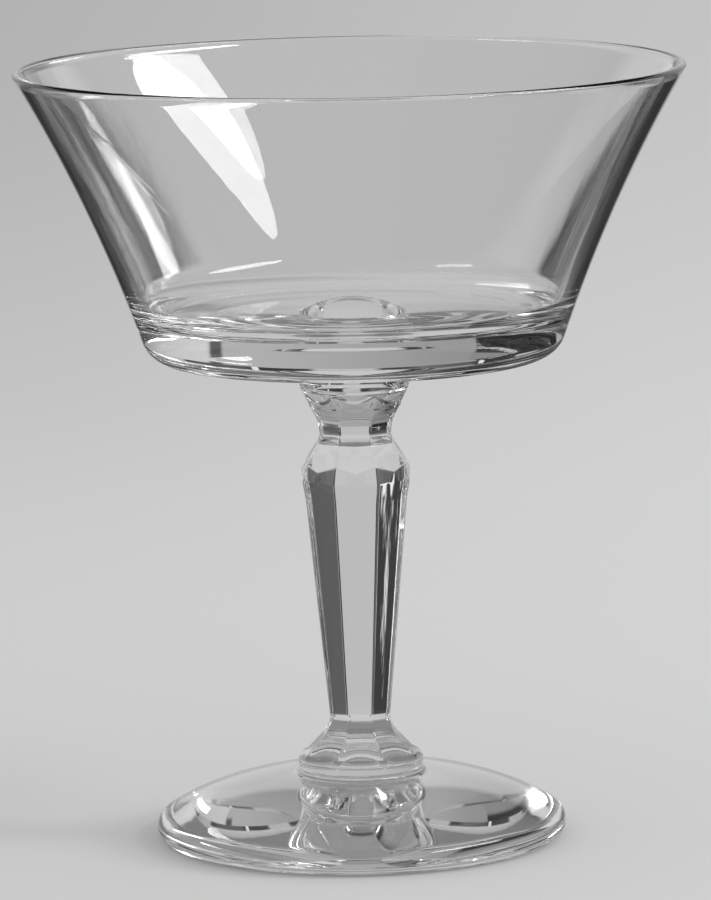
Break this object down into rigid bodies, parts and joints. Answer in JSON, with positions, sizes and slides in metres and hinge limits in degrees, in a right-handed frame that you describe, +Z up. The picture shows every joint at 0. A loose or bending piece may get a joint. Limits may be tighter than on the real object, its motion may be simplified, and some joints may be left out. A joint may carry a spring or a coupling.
{
  "type": "sherbet glass",
  "caption": "Stemmed clear glass with a wide flared bowl, a faceted tapering stem and a round domed foot, for sherbet, fruit or sparkling wine.",
  "frame": {"origin": "centre of the ring that the foot rests on", "axes": "+Z up along the glass's axis, from foot to lip; flats of the stem face +X, -X, +Y and -Y"},
  "size_m": [0.104, 0.104, 0.121],
  "materials": {
    "bowl_glass": "clear, thin blown wall, fire polished",
    "stem_glass": "clear, pressed facets, fire polished",
    "foot_glass": "clear, pressed and smoothed, lightly worn underneath"
  },
  "bodies": {
    "root": {"bowl": "bowl_glass", "stem": "stem_glass", "foot": "foot_glass"}
  },
  "joints": []
}
